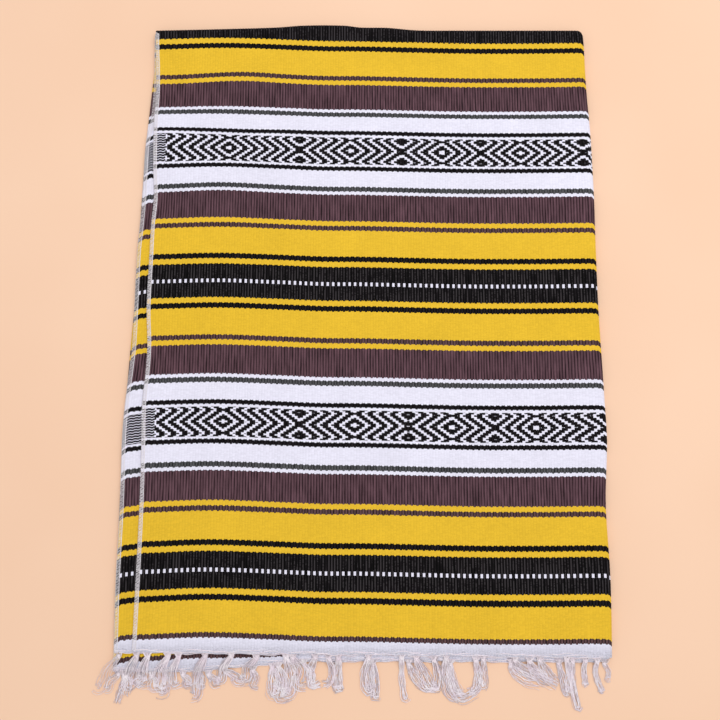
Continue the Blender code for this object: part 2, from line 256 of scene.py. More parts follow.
# The selvedge strips of the hidden layers are a little out of line with the top one.
StripLine = namedtuple("StripLine", "y lower")
STRIP_LINES = [StripLine(20, 1.5), StripLine(147, 5), StripLine(200, 6.5), StripLine(276, 9),
               StripLine(374, 9), StripLine(518, 15), StripLine(653, 14), StripLine(860, 6)]
LoweredLine = namedtuple("LoweredLine", "x middle")
THIRD_LINE = [LoweredLine(-28, -7.0), LoweredLine(-8, -5.2), LoweredLine(12, -4.2),
              LoweredLine(35, -2.8), LoweredLine(60, -1.0), LoweredLine(85, 0.0),
              LoweredLine(130, 0.4), LoweredLine(165, 1.0), LoweredLine(205, 3.0),
              LoweredLine(260, 8.0), LoweredLine(640, 12.0)]
DARK_MIDDLE = 26.8
HEM_SHIFT_START = 60.0
HEM_SHIFT_RUN = 420.0
SELVEDGE_DROOP = {"top": 1.2, "second": 5.0, "third": 4.0, "bottom": 4.0}
DROOP_RUN = 9.0
STRIP_TILT = 0.13
STRIP_SPAN = 28.0
NARROW_BORDER = 18.5
WIDE_BORDER = 32.0
FOLD_DROOP = 3.2
FOLD_DROOP_LEAD = 2.0


def woven_place(layer, across, x, y):
    """Distance along the cloth, from the top layer's nominal hem, of a point of a layer."""
    if layer is TOP:
        place = y - line_lift(x, y)
        if place > TOP_BLACK:
            place = TOP_BLACK + (place - TOP_BLACK) * TOP_BLACK_WIDENING
    else:
        place = y - line_lift(0, y) + along(STRIP_LINES, "y", "lower", y)
    if layer in (THIRD, BOTTOM):
        near_hem = y - along(THIRD_LINE, "x", "middle", x) + DARK_MIDDLE
        place = near_hem + (place - near_hem) * ease((y - HEM_SHIFT_START) / HEM_SHIFT_RUN)
    if layer is not TOP and across < STRIP_SPAN:
        place += STRIP_TILT * (STRIP_SPAN / 2 - across)
    from_edge = (across - RIB_START) / DROOP_RUN
    place += SELVEDGE_DROOP[layer.name] * max(1 - from_edge, 0) ** 2
    past_fold = across - RIB_START - RIB * layer.ribs + FOLD_DROOP_LEAD
    return place + FOLD_DROOP * ease(past_fold / DROOP_RUN)


# A rolled edge goes round a fold in quarter ribs: how far it bulges, where it ends, and how
# long the cloth is round it.
Roll = namedtuple("Roll", "reach end length")
ROLL_RINGS = 20
PACKET_LEFT = -30.0
packet_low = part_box("folded_layers")[0]
plan_shift = (packet_low.x - PACKET_LEFT * MM, packet_low.y - BOTTOM.hem_left * MM)


def to_frame(x, y, z):
    """A point of the plan, in millimetres, as a point of the frame in metres."""
    return Vector((plan_shift[0] + x * MM, plan_shift[1] + y * MM, z * MM))


def rib_relief(step):
    """Depth under the rib's crest at a quarter-rib step."""
    return RIB_DEPTH * (1 + math.cos(2 * math.pi * step / RIB_STEPS)) / 2


def weave_sheet(layer, right_roll=None, top_roll=None):
    """A ribbed sheet in the frame: a flat grid, rolled over where its layer folds."""
    columns = layer.ribs * RIB_STEPS
    last_across = RIB_START + RIB * layer.ribs
    base_x = 0.0 if layer is TOP else HEM_SPAN[0]
    side_run = SIDE_RUN if layer is TOP else LOWER_SIDE_RUN
    gap = 0.0 if layer is TOP else SEAM_GAP
    border = NARROW_BORDER if layer is TOP else WIDE_BORDER
    flat_rows = LOWER_ROWS
    if layer in (TOP, SECOND):
        flat_rows = [ROW_STEP * step for step in range(1, ROW_COUNT + 1)]
    rows = len(flat_rows) + len(TOP_STEPS)
    mesh = bmesh.new()
    cell = mesh.verts.layers.float_vector.new("cell")
    weave = mesh.verts.layers.float_vector.new("weave")
    from_hem = mesh.verts.layers.float.new("from_hem")
    bmesh.ops.create_grid(mesh, x_segments=columns, y_segments=rows, size=0.5)
    normals = {}
    for vert in mesh.verts:
        column = round((vert.co.x + 0.5) * columns)
        row = round((vert.co.y + 0.5) * rows)
        vert[cell] = (column, row, 0)
        across = RIB_START + RIB * column / RIB_STEPS
        guess_x = base_x + across
        if row == 0:
            y = hem(layer, guess_x)
        elif row <= len(flat_rows):
            y = flat_rows[row - 1]
        else:
            y = flat_top(guess_x) - gap - TOP_STEPS[row - len(flat_rows) - 1]
        pull_left = left_edge(layer, y) - base_x - RIB_START
        pull_right = flat_right(y) - gap - base_x - last_across
        x = (guess_x + pull_left * ease(1 - across / side_run)
             + pull_right * ease(1 - (last_across - across) / side_run))
        corner_x = flat_right(y) - gap - CORNER_RADIUS
        corner_y = flat_top(guess_x) - gap - CORNER_RADIUS
        outward = Vector((max(x - corner_x, 0), max(y - corner_y, 0), 0))
        side, up = outward.x / CORNER_RADIUS, outward.y / CORNER_RADIUS
        if side > 0 and up > 0:
            x = corner_x + CORNER_RADIUS * side * math.sqrt(max(1 - up * up / 2, 0))
            y = corner_y + CORNER_RADIUS * up * math.sqrt(max(1 - side * side / 2, 0))
        if column == columns and row < rows:
            outward.x = max(outward.x, 1.0)
        if row == rows and column < columns:
            outward.y = max(outward.y, 1.0)
        normals[(column, row)] = outward.normalized() if outward.length else outward
        vert.co = (x, y, top_of(layer, x, y) - rib_relief(column))
        vert[weave] = (across, woven_place(layer, across, x, y), border)
        vert[from_hem] = y - hem(layer, guess_x)
    rim = []
    for edge in mesh.edges:
        places = [vert[cell] for vert in edge.verts]
        on_right = right_roll and all(round(place.x) == columns for place in places)
        on_top = top_roll and all(round(place.y) == rows for place in places)
        if on_right or on_top:
            rim.append(edge)
    base = {}
    for vert in {vert for edge in rim for vert in edge.verts}:
        base[tuple(round(value) for value in vert[cell])] = (vert.co.copy(), vert[weave].copy())
    for ring in range(1, ROLL_RINGS + 1 if rim else 1):
        turn = math.pi * ring / ROLL_RINGS
        grown = bmesh.ops.extrude_edge_only(mesh, edges=rim)["geom"]
        rim = [item for item in grown if isinstance(item, bmesh.types.BMEdge)]
        for vert in (item for item in grown if isinstance(item, bmesh.types.BMVert)):
            key = tuple(round(value) for value in vert[cell])
            start, woven = base[key]
            outward = normals[key[:2]]
            right_share = outward.x ** 2 if right_roll else 0.0
            top_share = outward.y ** 2 if top_roll else 0.0
            reach = 0.0
            for roll, share in ((right_roll, right_share), (top_roll, top_share)):
                if roll:
                    reach += roll.reach(start.x, start.y) * share
            rolls = right_roll if right_share > top_share else top_roll
            end = rolls.end(start.x, start.y)
            relief = rib_relief(ring if key[0] == columns else key[0])
            crest = start.z + rib_relief(key[0])
            half = (crest - end) / 2
            away = (reach - relief) * math.sin(turn)
            level = end + half + (half - relief) * math.cos(turn)
            vert.co = Vector((start.x, start.y, level)) + outward * away
            shift = rolls.length * ring / ROLL_RINGS
            across = woven.x + shift * right_share
            drop = FOLD_DROOP * (ease((FOLD_DROOP_LEAD + shift) / DROOP_RUN)
                                 - ease(FOLD_DROOP_LEAD / DROOP_RUN))
            vert[weave] = (across, woven.y + shift * top_share + drop * right_share, border)
    for vert in mesh.verts:
        vert.co = to_frame(*vert.co)
    return mesh


def put_in_scene(name, data):
    """A new object in the scene."""
    made = bpy.data.objects.new(name, data)
    bpy.context.scene.collection.objects.link(made)
    return made


def cloth_piece(mesh, name, thickness):
    """An object from a sheet, given its dyed yarn and its wall."""
    data = bpy.data.meshes.new(name)
    mesh.to_mesh(data)
    mesh.free()
    data.shade_smooth()
    data.materials.append(cloth_dyed)
    piece = put_in_scene(name, data)
    wall = piece.modifiers.new("cloth wall", "SOLIDIFY")
    wall.thickness = thickness * MM
    wall.offset = -1
    return piece


def dye(red, green, blue):
    """A colour given as it looks, in 0 to 255, for a shader."""
    return tuple(((value / 255 + 0.055) / 1.055) ** 2.4 if value > 10 else value / 3295
                 for value in (red, green, blue)) + (1.0,)


BLACK = dye(14, 11, 13)
YELLOW = dye(225, 183, 50)
BROWN = dye(76, 54, 61)
WHITE = dye(226, 224, 240)
DARK_LINE = dye(72, 52, 54)
GREY_LINE = dye(64, 64, 66)

# Stripes of half a repeat, from the middle of a black band to the middle of a figured one.
Stripe = namedtuple("Stripe", "width colour")
STRIPES = [
    Stripe(24.4, BLACK), Stripe(8.4, YELLOW), Stripe(7.2, BLACK), Stripe(39.2, YELLOW),
    Stripe(7.0, DARK_LINE), Stripe(7.5, YELLOW), Stripe(39.8, BROWN), Stripe(4.4, WHITE),
    Stripe(7.3, GREY_LINE), Stripe(24.3, WHITE), Stripe(6.4, BLACK), Stripe(24.5, WHITE),
]
HALF_REPEAT = sum(stripe.width for stripe in STRIPES)
BLACK_MIDDLE = 109.6
HEADER_TOP = 23.3
DASH_HALF = 2.7
DASH_EDGE = 0.72

# The weft: how far its lines step from rib to rib, curve over a rib and wander.
FLOAT = 1.42
STAGGER = 0.85
SCALLOP = 0.9
WANDER = 0.9
WANDER_SCALE = 0.16

# A figured band: its rows of floats, and how its arms, hearts and border lines are cut.
FIGURE_ROW = 2.85
FIGURE_TURN = 5.7
FIGURE_HOOK = 1.3
FIGURE_END = 20.8
FIGURE_PERIOD = 4.0
FIGURE_SPAN = 700.0
CROSSING_PHASE = 2.6
FIRST_PHASE = 36.0
PHASE_SCALE = 40.0
BETWEEN_BANDS = 510.0
ARM_HALF = 1.32
ARM_WAIST = 0.16
HEART_START = 2.9
HEART_EYE = 5.35
EYE_FADE = 0.35
BORDER_LINE = 3.6
BORDER_BLACK = 0.72
BORDER_STAGGER = 0.22
BORDER_SCALLOP = 0.3

# Tone: painted shade darkens each rib towards its sides and a painted highlight lifts its crest,
# most on dark yarn and broken by streaks; every float differs, painted shade lies in the grooves
# between floats, and a painted grey highlight lies on the crests of the wide black bands.
TONE = 0.99
DARKEST = 0.15
RIB_CONTRAST = 6.0
RIB_FALL = 6.0
BRIGHT_CONTRAST = 0.03
CREST_HALF = 0.40
STREAK_SIZE = (0.30, 0.03, 1.0)
STREAK_DEPTH = 1.4
FIBRE_SIZE = (1.1, 5.0, 1.0)
FIBRE_CHANGE = 0.20
PATCH_SCALE = 0.02
PATCH_CHANGE = 0.12
FLOAT_CHANGE = 0.10
GROOVE_SHADE = 0.05
FIBRE_RELIEF = 0.35
EDGE_RELIEF = 0.4
# A painted grey highlight on the crests of the dark ribs.
CREST_HIGHLIGHT = dye(84, 80, 82)
CREST_HIGHLIGHT_SHARE = 0.5
CREST_HIGHLIGHT_HALF = 0.12
CREST_HIGHLIGHT_START = 0.6
CREST_HIGHLIGHT_BY_FLOAT = 0.25

# Near the hem the picks of the header part a little, and painted shade darkens the gaps between
# them.
LOOSE_PICK = 2.7
LOOSE_HEM = 8.0
LOOSE_WANDER = 2.6
PARTED_SHARE = 0.17
PARTED_PATCH = 0.44
PARTED_SHADE = 0.22

# Where the diamonds and the crossings between them fall across each figured band.
Figure = namedtuple("Figure", "x kind")
LOWER_BAND = [Figure(112.6, "diamond"), Figure(220, "crossing"), Figure(296.5, "diamond"),
              Figure(372, "crossing"), Figure(433, "diamond"), Figure(492.5, "crossing"),
              Figure(550.5, "diamond"), Figure(640.5, "crossing")]
UPPER_BAND = [Figure(111, "diamond"), Figure(215.4, "crossing"), Figure(290.4, "diamond"),
              Figure(365.6, "crossing"), Figure(425, "diamond"), Figure(482.3, "crossing"),
              Figure(540.5, "diamond"), Figure(629, "crossing")]


class Value:
    """A number that a material's nodes work out, so that sums are written as sums."""

    def __init__(self, surface, socket):
        self.surface = surface
        self.socket = socket

    def step(self, operation, *others):
        """One step of arithmetic, with other values or plain numbers."""
        return self.surface.sum(operation, self, *others)

    def __add__(self, other):
        return self.step("ADD", other)

    def __sub__(self, other):
        return self.step("SUBTRACT", other)

    def __rsub__(self, other):
        return self.surface.sum("SUBTRACT", other, self)

    def __mul__(self, other):
        return self.step("MULTIPLY", other)

    def __truediv__(self, other):
        return self.step("DIVIDE", other)

    def __pow__(self, other):
        return self.step("POWER", other)

    def below(self, limit):
        """1 where it is less than the limit, and 0 elsewhere."""
        return self.step("LESS_THAN", limit)

    def above(self, limit):
        """1 where it is more than the limit, and 0 elsewhere."""
        return self.step("GREATER_THAN", limit)


class Surface:
    """A material's nodes."""

    def __init__(self, name):
        self.material = bpy.data.materials.new(name)
        self.material.use_nodes = True
        self.tree = self.material.node_tree
        self.shader = self.tree.nodes["Principled BSDF"]

    def add(self, kind, **settings):
        """A new node with its settings."""
        node = self.tree.nodes.new(kind)
        for key, value in settings.items():
            setattr(node, key, value)
        return node

    def join(self, value, socket):
        """Link a value or an output to a socket, or set a plain number or colour on it."""
        if isinstance(value, Value):
            value = value.socket
        if isinstance(value, bpy.types.NodeSocket):
            self.tree.links.new(value, socket)
        else:
            socket.default_value = value

    def sum(self, operation, *values):
        """One step of arithmetic."""
        node = self.add("ShaderNodeMath", operation=operation)
        for value, socket in zip(values, node.inputs):
            self.join(value, socket)
        return Value(self, node.outputs[0])

    def mix(self, factor, first, second, **settings):
        """Two colours mixed by a factor."""
        node = self.add("ShaderNodeMix", data_type="RGBA", **settings)
        self.join(factor, node.inputs["Factor"])
        self.join(first, node.inputs["A"])
        self.join(second, node.inputs["B"])
        return node.outputs["Result"]

    def ramp(self, factor, stops, interpolation):
        """A colour ramp from (position, colour) pairs."""
        node = self.add("ShaderNodeValToRGB")
        band = node.color_ramp
        band.interpolation = interpolation
        band.elements.remove(band.elements[1])
        for index, (position, colour) in enumerate(stops):
            stop = band.elements[0] if index == 0 else band.elements.new(position)
            stop.position = position
            stop.color = colour
        self.join(factor, node.inputs["Fac"])
        return node.outputs["Color"]

    def split(self, kind, joined):
        """The three values in a vector or a colour."""
        node = self.add(kind)
        self.join(joined, node.inputs[0])
        return [Value(self, output) for output in node.outputs[:3]]

    def kept(self, name):
        """A value kept on the mesh's points."""
        node = self.add("ShaderNodeAttribute", attribute_name=name)
        return Value(self, node.outputs["Fac"])

    def noise(self, where, scale, detail=2.0, dimensions="2D", stretch=None):
        """Soft noise, drawn out by a stretch where one is given."""
        node = self.add("ShaderNodeTexNoise", noise_dimensions=dimensions)
        if stretch:
            drawn = self.add("ShaderNodeMapping")
            drawn.inputs["Scale"].default_value = stretch
            self.join(where, drawn.inputs["Vector"])
            where = drawn.outputs[0]
        self.join(where, node.inputs["Vector"])
        node.inputs["Scale"].default_value = scale
        node.inputs["Detail"].default_value = detail
        return Value(self, node.outputs["Fac"])

    def relief(self, height, strength, distance):
        """Fine relief by bump."""
        bump = self.add("ShaderNodeBump")
        bump.inputs["Strength"].default_value = strength
        bump.inputs["Distance"].default_value = distance
        self.join(height, bump.inputs["Height"])
        self.join(bump.outputs[0], self.shader.inputs["Normal"])


def figure_phases(cloth, across, band):
    """Ribs from the nearest diamond's middle, and to the nearest crossing's, across a band."""
    stops = [(0.0, (band[0].x / RIB / PHASE_SCALE, FIRST_PHASE / PHASE_SCALE, 0, 1))]
    for left, right in zip(band, band[1:]):
        ribs = (right.x - left.x) / RIB
        steps = FIGURE_PERIOD * round((ribs - CROSSING_PHASE) / FIGURE_PERIOD) + CROSSING_PHASE
        from_diamond = (0, steps / PHASE_SCALE, 0, 1)
        from_crossing = (steps / PHASE_SCALE, 0, 0, 1)
        ends = [from_diamond, from_crossing]
        if left.kind == "crossing":
            ends.reverse()
        stops.append(((left.x + RIB / 8) / FIGURE_SPAN, ends[0]))
        stops.append(((right.x - RIB / 8) / FIGURE_SPAN, ends[1]))
    past = (FIGURE_SPAN - band[-1].x) / RIB
    stops.append(((band[-1].x + RIB / 8) / FIGURE_SPAN, stops[-1][1]))
    stops.append((1.0, ((steps - past) / PHASE_SCALE, past / PHASE_SCALE, 0, 1)))
    phases = cloth.ramp(across / FIGURE_SPAN, stops, "LINEAR")
    diamond, crossing = cloth.split("ShaderNodeSeparateColor", phases)[:2]
    return diamond * PHASE_SCALE, crossing * PHASE_SCALE


def figured_band(weave, from_middle):
    """Where a figured band is black: diamonds, crossings with hearts, and lines at the border."""
    row = from_middle / FIGURE_ROW
    turned = row - (row - FIGURE_TURN).step("MAXIMUM", 0.0) * (1 + FIGURE_HOOK)
    rib_middle = (weave.rib + 0.5) * RIB + RIB_START
    upper = weave.up.above(BETWEEN_BANDS)
    lower = 1.0 - upper
    high_phase, high_cross = figure_phases(weave.cloth, rib_middle, UPPER_BAND)
    low_phase, low_cross = figure_phases(weave.cloth, rib_middle, LOWER_BAND)
    phase = high_phase * upper + low_phase * lower
    cross = high_cross * upper + low_cross * lower
    half = FIGURE_PERIOD / 2
    ring = (phase + turned + (FIGURE_PERIOD + half - CROSSING_PHASE)).step(
        "MODULO", FIGURE_PERIOD)
    arms = (ring - half).step("ABSOLUTE").below(ARM_HALF - weave.edge * ARM_WAIST)
    above = turned - cross
    figure = (arms.step("MAXIMUM", above.above(HEART_START))
              - above.above(HEART_EYE) * EYE_FADE)
    lines = ((weave.up - weave.edge * BORDER_SCALLOP) / BORDER_LINE
             + weave.parity * BORDER_STAGGER).step("FRACT").below(BORDER_BLACK)
    border = weave.across.below(weave.border_end)
    return (lines * border + figure * (1.0 - border)) * from_middle.below(FIGURE_END)


def stripe_colour(weave, line, plain):
    """The dyed yarn's colour: stripes, the white header, the dashes and the figured bands."""
    cloth = weave.cloth
    from_black = (line - BLACK_MIDDLE).step("PINGPONG", HALF_REPEAT)
    stops = []
    reached = 0.0
    for stripe in STRIPES:
        stops.append((reached / HALF_REPEAT, stripe.colour))
        reached += stripe.width
    colour = cloth.ramp(from_black / HALF_REPEAT, stops, "CONSTANT")
    colour = cloth.mix(line.below(HEADER_TOP), colour, WHITE)
    dash = plain.below(DASH_HALF) * weave.parity * weave.edge.below(DASH_EDGE)
    colour = cloth.mix(dash, colour, WHITE)
    return cloth.mix(figured_band(weave, HALF_REPEAT - plain), colour, BLACK)


# What a point of the weave knows: its place, its rib, which of two ribs it is, and how near it is
# to the rib's edge.
Weave = namedtuple("Weave", "cloth across up border_end rib parity edge")


def woven_stripes():
    """Dyed cotton: stripes, dashes and figured bands by rib and by float, and the ribs' relief."""
    cloth = Surface("woven_stripes")
    where = cloth.add("ShaderNodeAttribute", attribute_name="weave").outputs["Vector"]
    across, up, border_end = cloth.split("ShaderNodeSeparateXYZ", where)
    ribs = (across - RIB_START) / RIB
    rib = ribs.step("FLOOR")
    in_rib = ribs.step("FRACT") - 0.5
    parity = rib.step("ABSOLUTE").step("MODULO", 2.0)
    edge = in_rib * in_rib * 4.0
    weave = Weave(cloth, across, up, border_end, rib, parity, edge)

    loose = cloth.noise(where, WANDER_SCALE)
    wander = (loose - 0.5) * WANDER
    line = up + (parity - 0.5) * STAGGER + (wander - edge * SCALLOP)
    plain = (up + wander - BLACK_MIDDLE).step("PINGPONG", HALF_REPEAT)
    colour = stripe_colour(weave, line, plain)

    floats = up / FLOAT + parity * 0.5
    in_float = floats.step("FRACT") - 0.5
    groove = in_float * in_float * 4.0
    float_place = cloth.add("ShaderNodeCombineXYZ")
    cloth.join(rib, float_place.inputs[0])
    cloth.join(floats.step("FLOOR"), float_place.inputs[1])
    float_noise = cloth.add("ShaderNodeTexWhiteNoise", noise_dimensions="2D")
    cloth.join(float_place.outputs[0], float_noise.inputs["Vector"])
    each = Value(cloth, float_noise.outputs["Value"])
    fibre = cloth.noise(where, 1.0, 3.0, stretch=FIBRE_SIZE)
    patch = cloth.noise(where, PATCH_SCALE, 3.0)
    streak = cloth.noise(where, 1.0, stretch=STREAK_SIZE)

    light = cloth.add("ShaderNodeRGBToBW")
    cloth.join(colour, light.inputs[0])
    dark = 1.0 - Value(cloth, light.outputs[0]).step("SQRT")
    depth = dark ** RIB_FALL
    # Painted shade and highlight: the tone falls towards each rib's sides and rises on its crest,
    # most on dark yarn.
    crest = (CREST_HALF - edge) - (0.5 - streak) * STREAK_DEPTH
    tone = crest * (depth * RIB_CONTRAST + BRIGHT_CONTRAST) + TONE
    tone += (each - 0.5) * FLOAT_CHANGE
    tone += (fibre - 0.5) * FIBRE_CHANGE
    tone += (patch - 0.5) * PATCH_CHANGE
    # Painted shade in the grooves between floats.
    tone -= groove * GROOVE_SHADE
    hem_gap = cloth.kept("from_hem")
    ragged = hem_gap / LOOSE_PICK + loose * LOOSE_WANDER
    # Painted shade in the gaps where the picks part.
    parted = (ragged.step("FRACT").below(PARTED_SHARE) * hem_gap.below(LOOSE_HEM)
              * patch.above(PARTED_PATCH))
    tone = (tone - parted * PARTED_SHADE).step("MAXIMUM", DARKEST)
    grey = cloth.add("ShaderNodeCombineColor")
    for socket in grey.inputs[:3]:
        cloth.join(tone, socket)
    shaded = cloth.mix(1.0, colour, grey.outputs[0], blend_type="MULTIPLY")
    # Painted highlight: broken grey lines on the rib crests of the wide black bands.
    crest_highlight = (edge.below(CREST_HIGHLIGHT_HALF) * (streak + each * CREST_HIGHLIGHT_BY_FLOAT).above(CREST_HIGHLIGHT_START)
            * depth * CREST_HIGHLIGHT_SHARE * plain.below(STRIPES[0].width))
    cloth.join(cloth.mix(crest_highlight, shaded, CREST_HIGHLIGHT), cloth.shader.inputs["Base Color"])

    cloth.relief(fibre * FIBRE_RELIEF - groove - edge * EDGE_RELIEF, strength=0.6,
                 distance=0.0003)
    cloth.shader.inputs["Roughness"].default_value = 0.88
    cloth.shader.inputs["Specular IOR Level"].default_value = 0.08
    cloth.shader.inputs["Sheen Weight"].default_value = 0.02
    cloth.shader.inputs["Sheen Roughness"].default_value = 0.5
    return cloth.material


cloth_dyed = woven_stripes()
bottom_layer = cloth_piece(weave_sheet(BOTTOM), "bottom_layer", BOTTOM_WALL)
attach(bottom_layer, "root")
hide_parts("folded_layers")


# Third layer: it lies on the bottom one, and at the top it is folded over down to the floor,
# where it meets it. Its hem shows under the top layer's at the left.
LOWER_FOLD_REACH = 1.5
LOWER_FOLD_LENGTH = 6.0
third_top = Roll(lambda x, y: LOWER_FOLD_REACH + SEAM_GAP, lambda x, y: 0.0, LOWER_FOLD_LENGTH)
third_layer = cloth_piece(weave_sheet(THIRD, top_roll=third_top), "third_layer", WALL)
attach(third_layer, "root")
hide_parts("folded_layers")


# Second layer: its selvedge shows beside the top layer's. At the right it turns under, inside
# the outer fold, and becomes the third layer.
NEST_DEPTH = 3.2
NEST_END = 820.0
NEST_END_RUN = 30.0
NEST_LENGTH = 11.0


def nest_reach(x, y):
    """How far the inner fold reaches into the outer one."""
    return SEAM_GAP + NEST_DEPTH * ease((NEST_END - y) / NEST_END_RUN)


second_right = Roll(nest_reach, lambda x, y: CLOTH * stack_scale(x, y) + SEAM_GAP, NEST_LENGTH)
second_layer = cloth_piece(weave_sheet(SECOND, right_roll=second_right), "second_layer", WALL)
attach(second_layer, "root")
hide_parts("folded_layers")


# Top layer: the face that shows. It rolls over the second layer at the top, and round all the
# others at the right, down to the floor.
LIP_LIFT_START = 830.0
TOP_FOLD_LENGTH = 11.5


def mid_stack(x, y):
    """Height of the middle of the stack, where the top roll ends."""
    return 2 * CLOTH * stack_scale(x, y) + SEAM_GAP


def lip_height(x, y):
    """Where the right roll ends: on the floor, and halfway up the stack near the top corner."""
    lift_end = flat_top(x) - CORNER_RADIUS
    return mid_stack(x, y) * ease((y - LIP_LIFT_START) / (lift_end - LIP_LIFT_START))


top_right = Roll(lambda x, y: FOLD_REACH_RIGHT, lip_height, RIB * ROLL_RINGS / RIB_STEPS)
top_top = Roll(lambda x, y: FOLD_REACH_TOP, mid_stack, TOP_FOLD_LENGTH)
top_layer = cloth_piece(weave_sheet(TOP, top_right, top_top), "top_layer", WALL)
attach(top_layer, "root")
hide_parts("top_panel")


# Overlock seams: each long edge of the cloth is bound with white cotton thread. A stitch goes
# over the face, round the raw edge and under it, and a looper thread chains them together.
OVERLOCK_SEED = 11
SEAM_START = 1.5
SEAM_END = 1.0
STITCH = 1.9
STITCH_VARIES = 0.2
SLANT = 1.6
SLANT_VARIES = 0.3
BITE = 4.6
BITE_VARIES = 0.35
THREAD = 0.48
THREAD_SIDES = 5
LOWER_THREAD = 0.72
CHAIN_THREAD = 0.9
CHAIN_SWING = 0.35
CHAIN_RISE = 0.35
CHAIN_BED = 0.4
STITCH_BED = 0.5
STITCH_BED_PLACE = 3.0

# Where a stitch passes, from the needle's hole to under the cloth: shares of its bite, of its
# slant, of a thread beyond the raw edge, of the wall's height, and of a thread above that.
StitchPoint = namedtuple("StitchPoint", "bite slant beyond wall over")
STITCH_POINTS = [
    StitchPoint(1.0, 0.0, 0.0, 1.0, -0.6),
    StitchPoint(0.85, 0.1, 0.0, 1.0, 0.75),
    StitchPoint(0.4, 0.6, 0.0, 1.0, 0.8),
    StitchPoint(0.0, 1.0, 0.2, 1.0, 0.1),
    StitchPoint(0.0, 1.15, 0.9, 0.5, 0.0),
    StitchPoint(0.0, 1.3, 0.2, 0.0, 0.9),
]
# Darker tint for the fibre grain, and for painted shade on yarns deep in a tassel.
GRAIN_AND_SHADE_TINT = dye(132, 116, 124)
GRAIN_DARKENING = 0.25
GRAIN_SCALE = 1400.0
SOFT_SCALE = 90.0


def tube_routes(routes, radius, sides, squash=1.0, twist=0.0, taper=1.0, shades=None):
    """Closed tubes along routes that all have the same number of points, grown together."""
    mesh = bmesh.new()
    route_layer = mesh.faces.layers.int.new("route")
    corner_layer = mesh.verts.layers.float.new("corner")
    shade_layer = mesh.verts.layers.float.new("shade")
    frames = []
    for index, route in enumerate(routes):
        ring = bmesh.ops.create_circle(mesh, cap_ends=True, segments=sides, radius=1.0)["verts"]
        for corner, vert in enumerate(ring):
            vert[corner_layer] = corner
            vert[shade_layer] = shades[index] if shades else 1.0
        face = ring[0].link_faces[0]
        face[route_layer] = index
        side = None
        places = []
        for step, point in enumerate(route):
            ahead = route[min(step + 1, len(route) - 1)] - route[max(step - 1, 0)]
            ahead = ahead.normalized()
            if side is None:
                side = ahead.orthogonal().normalized()
            side = (side - ahead * side.dot(ahead)).normalized()
            places.append((point, side, ahead.cross(side)))
        frames.append(places)

    def place(face, step):
        """Set a section's corners round its point of the route."""
        point, side, over = frames[face[route_layer]][step]
        size = radius * (1 + (taper - 1) * step / (len(frames[0]) - 1))
        turn = twist * step
        for vert in face.verts:
            angle = 2 * math.pi * vert[corner_layer] / sides
            flat, tall = size * math.cos(angle), size * squash * math.sin(angle)
            vert.co = (point + side * (flat * math.cos(turn) - tall * math.sin(turn))
                       + over * (flat * math.sin(turn) + tall * math.cos(turn)))

    faces = list(mesh.faces)
    for face in faces:
        place(face, 0)
    for step in range(1, len(frames[0])):
        faces = bmesh.ops.extrude_discrete_faces(mesh, faces=faces)["faces"]
        for face in faces:
            place(face, step)
    open_edges = [edge for edge in mesh.edges if edge.is_boundary]
    if open_edges:
        bmesh.ops.holes_fill(mesh, edges=open_edges, sides=0)
    bmesh.ops.recalc_face_normals(mesh, faces=mesh.faces)
    return mesh


def thread_piece(meshes, name, thread):
    """One smooth-shaded object of a thread, from bmeshes in plan millimetres."""
    data = bpy.data.meshes.new(name)
    whole = bmesh.new()
    for mesh in meshes:
        for vert in mesh.verts:
            vert.co = to_frame(*vert.co)
        part = bpy.data.meshes.new("part")
        mesh.to_mesh(part)
        mesh.free()
        whole.from_mesh(part)
        bpy.data.meshes.remove(part)
    whole.to_mesh(data)
    whole.free()
    data.shade_smooth()
    data.materials.append(thread)
    return put_in_scene(name, data)


def cotton_thread(name, dull, clean):
    """Undyed spun cotton: off-white, matt, fine fibre grain, painted shade deep in a tassel."""
    thread = Surface(name)
    where = thread.add("ShaderNodeTexCoord").outputs["Object"]
    grain = thread.noise(where, GRAIN_SCALE, dimensions="3D")
    soft = thread.noise(where, SOFT_SCALE, dimensions="3D")
    tint = thread.ramp(soft, [(0.3, dull), (0.7, clean)], "LINEAR")
    # The fibre grain darkens at random, and painted shade darkens the yarns that lie deep in a
    # tassel.
    grain_and_shade = grain * GRAIN_DARKENING + (1.0 - thread.kept("shade"))
    thread.join(thread.mix(grain_and_shade, tint, GRAIN_AND_SHADE_TINT), thread.shader.inputs["Base Color"])
    thread.relief(grain, strength=0.5, distance=0.0002)
    thread.shader.inputs["Roughness"].default_value = 0.85
    thread.shader.inputs["Specular IOR Level"].default_value = 0.25
    thread.shader.inputs["Sheen Weight"].default_value = 0.15
    return thread.material


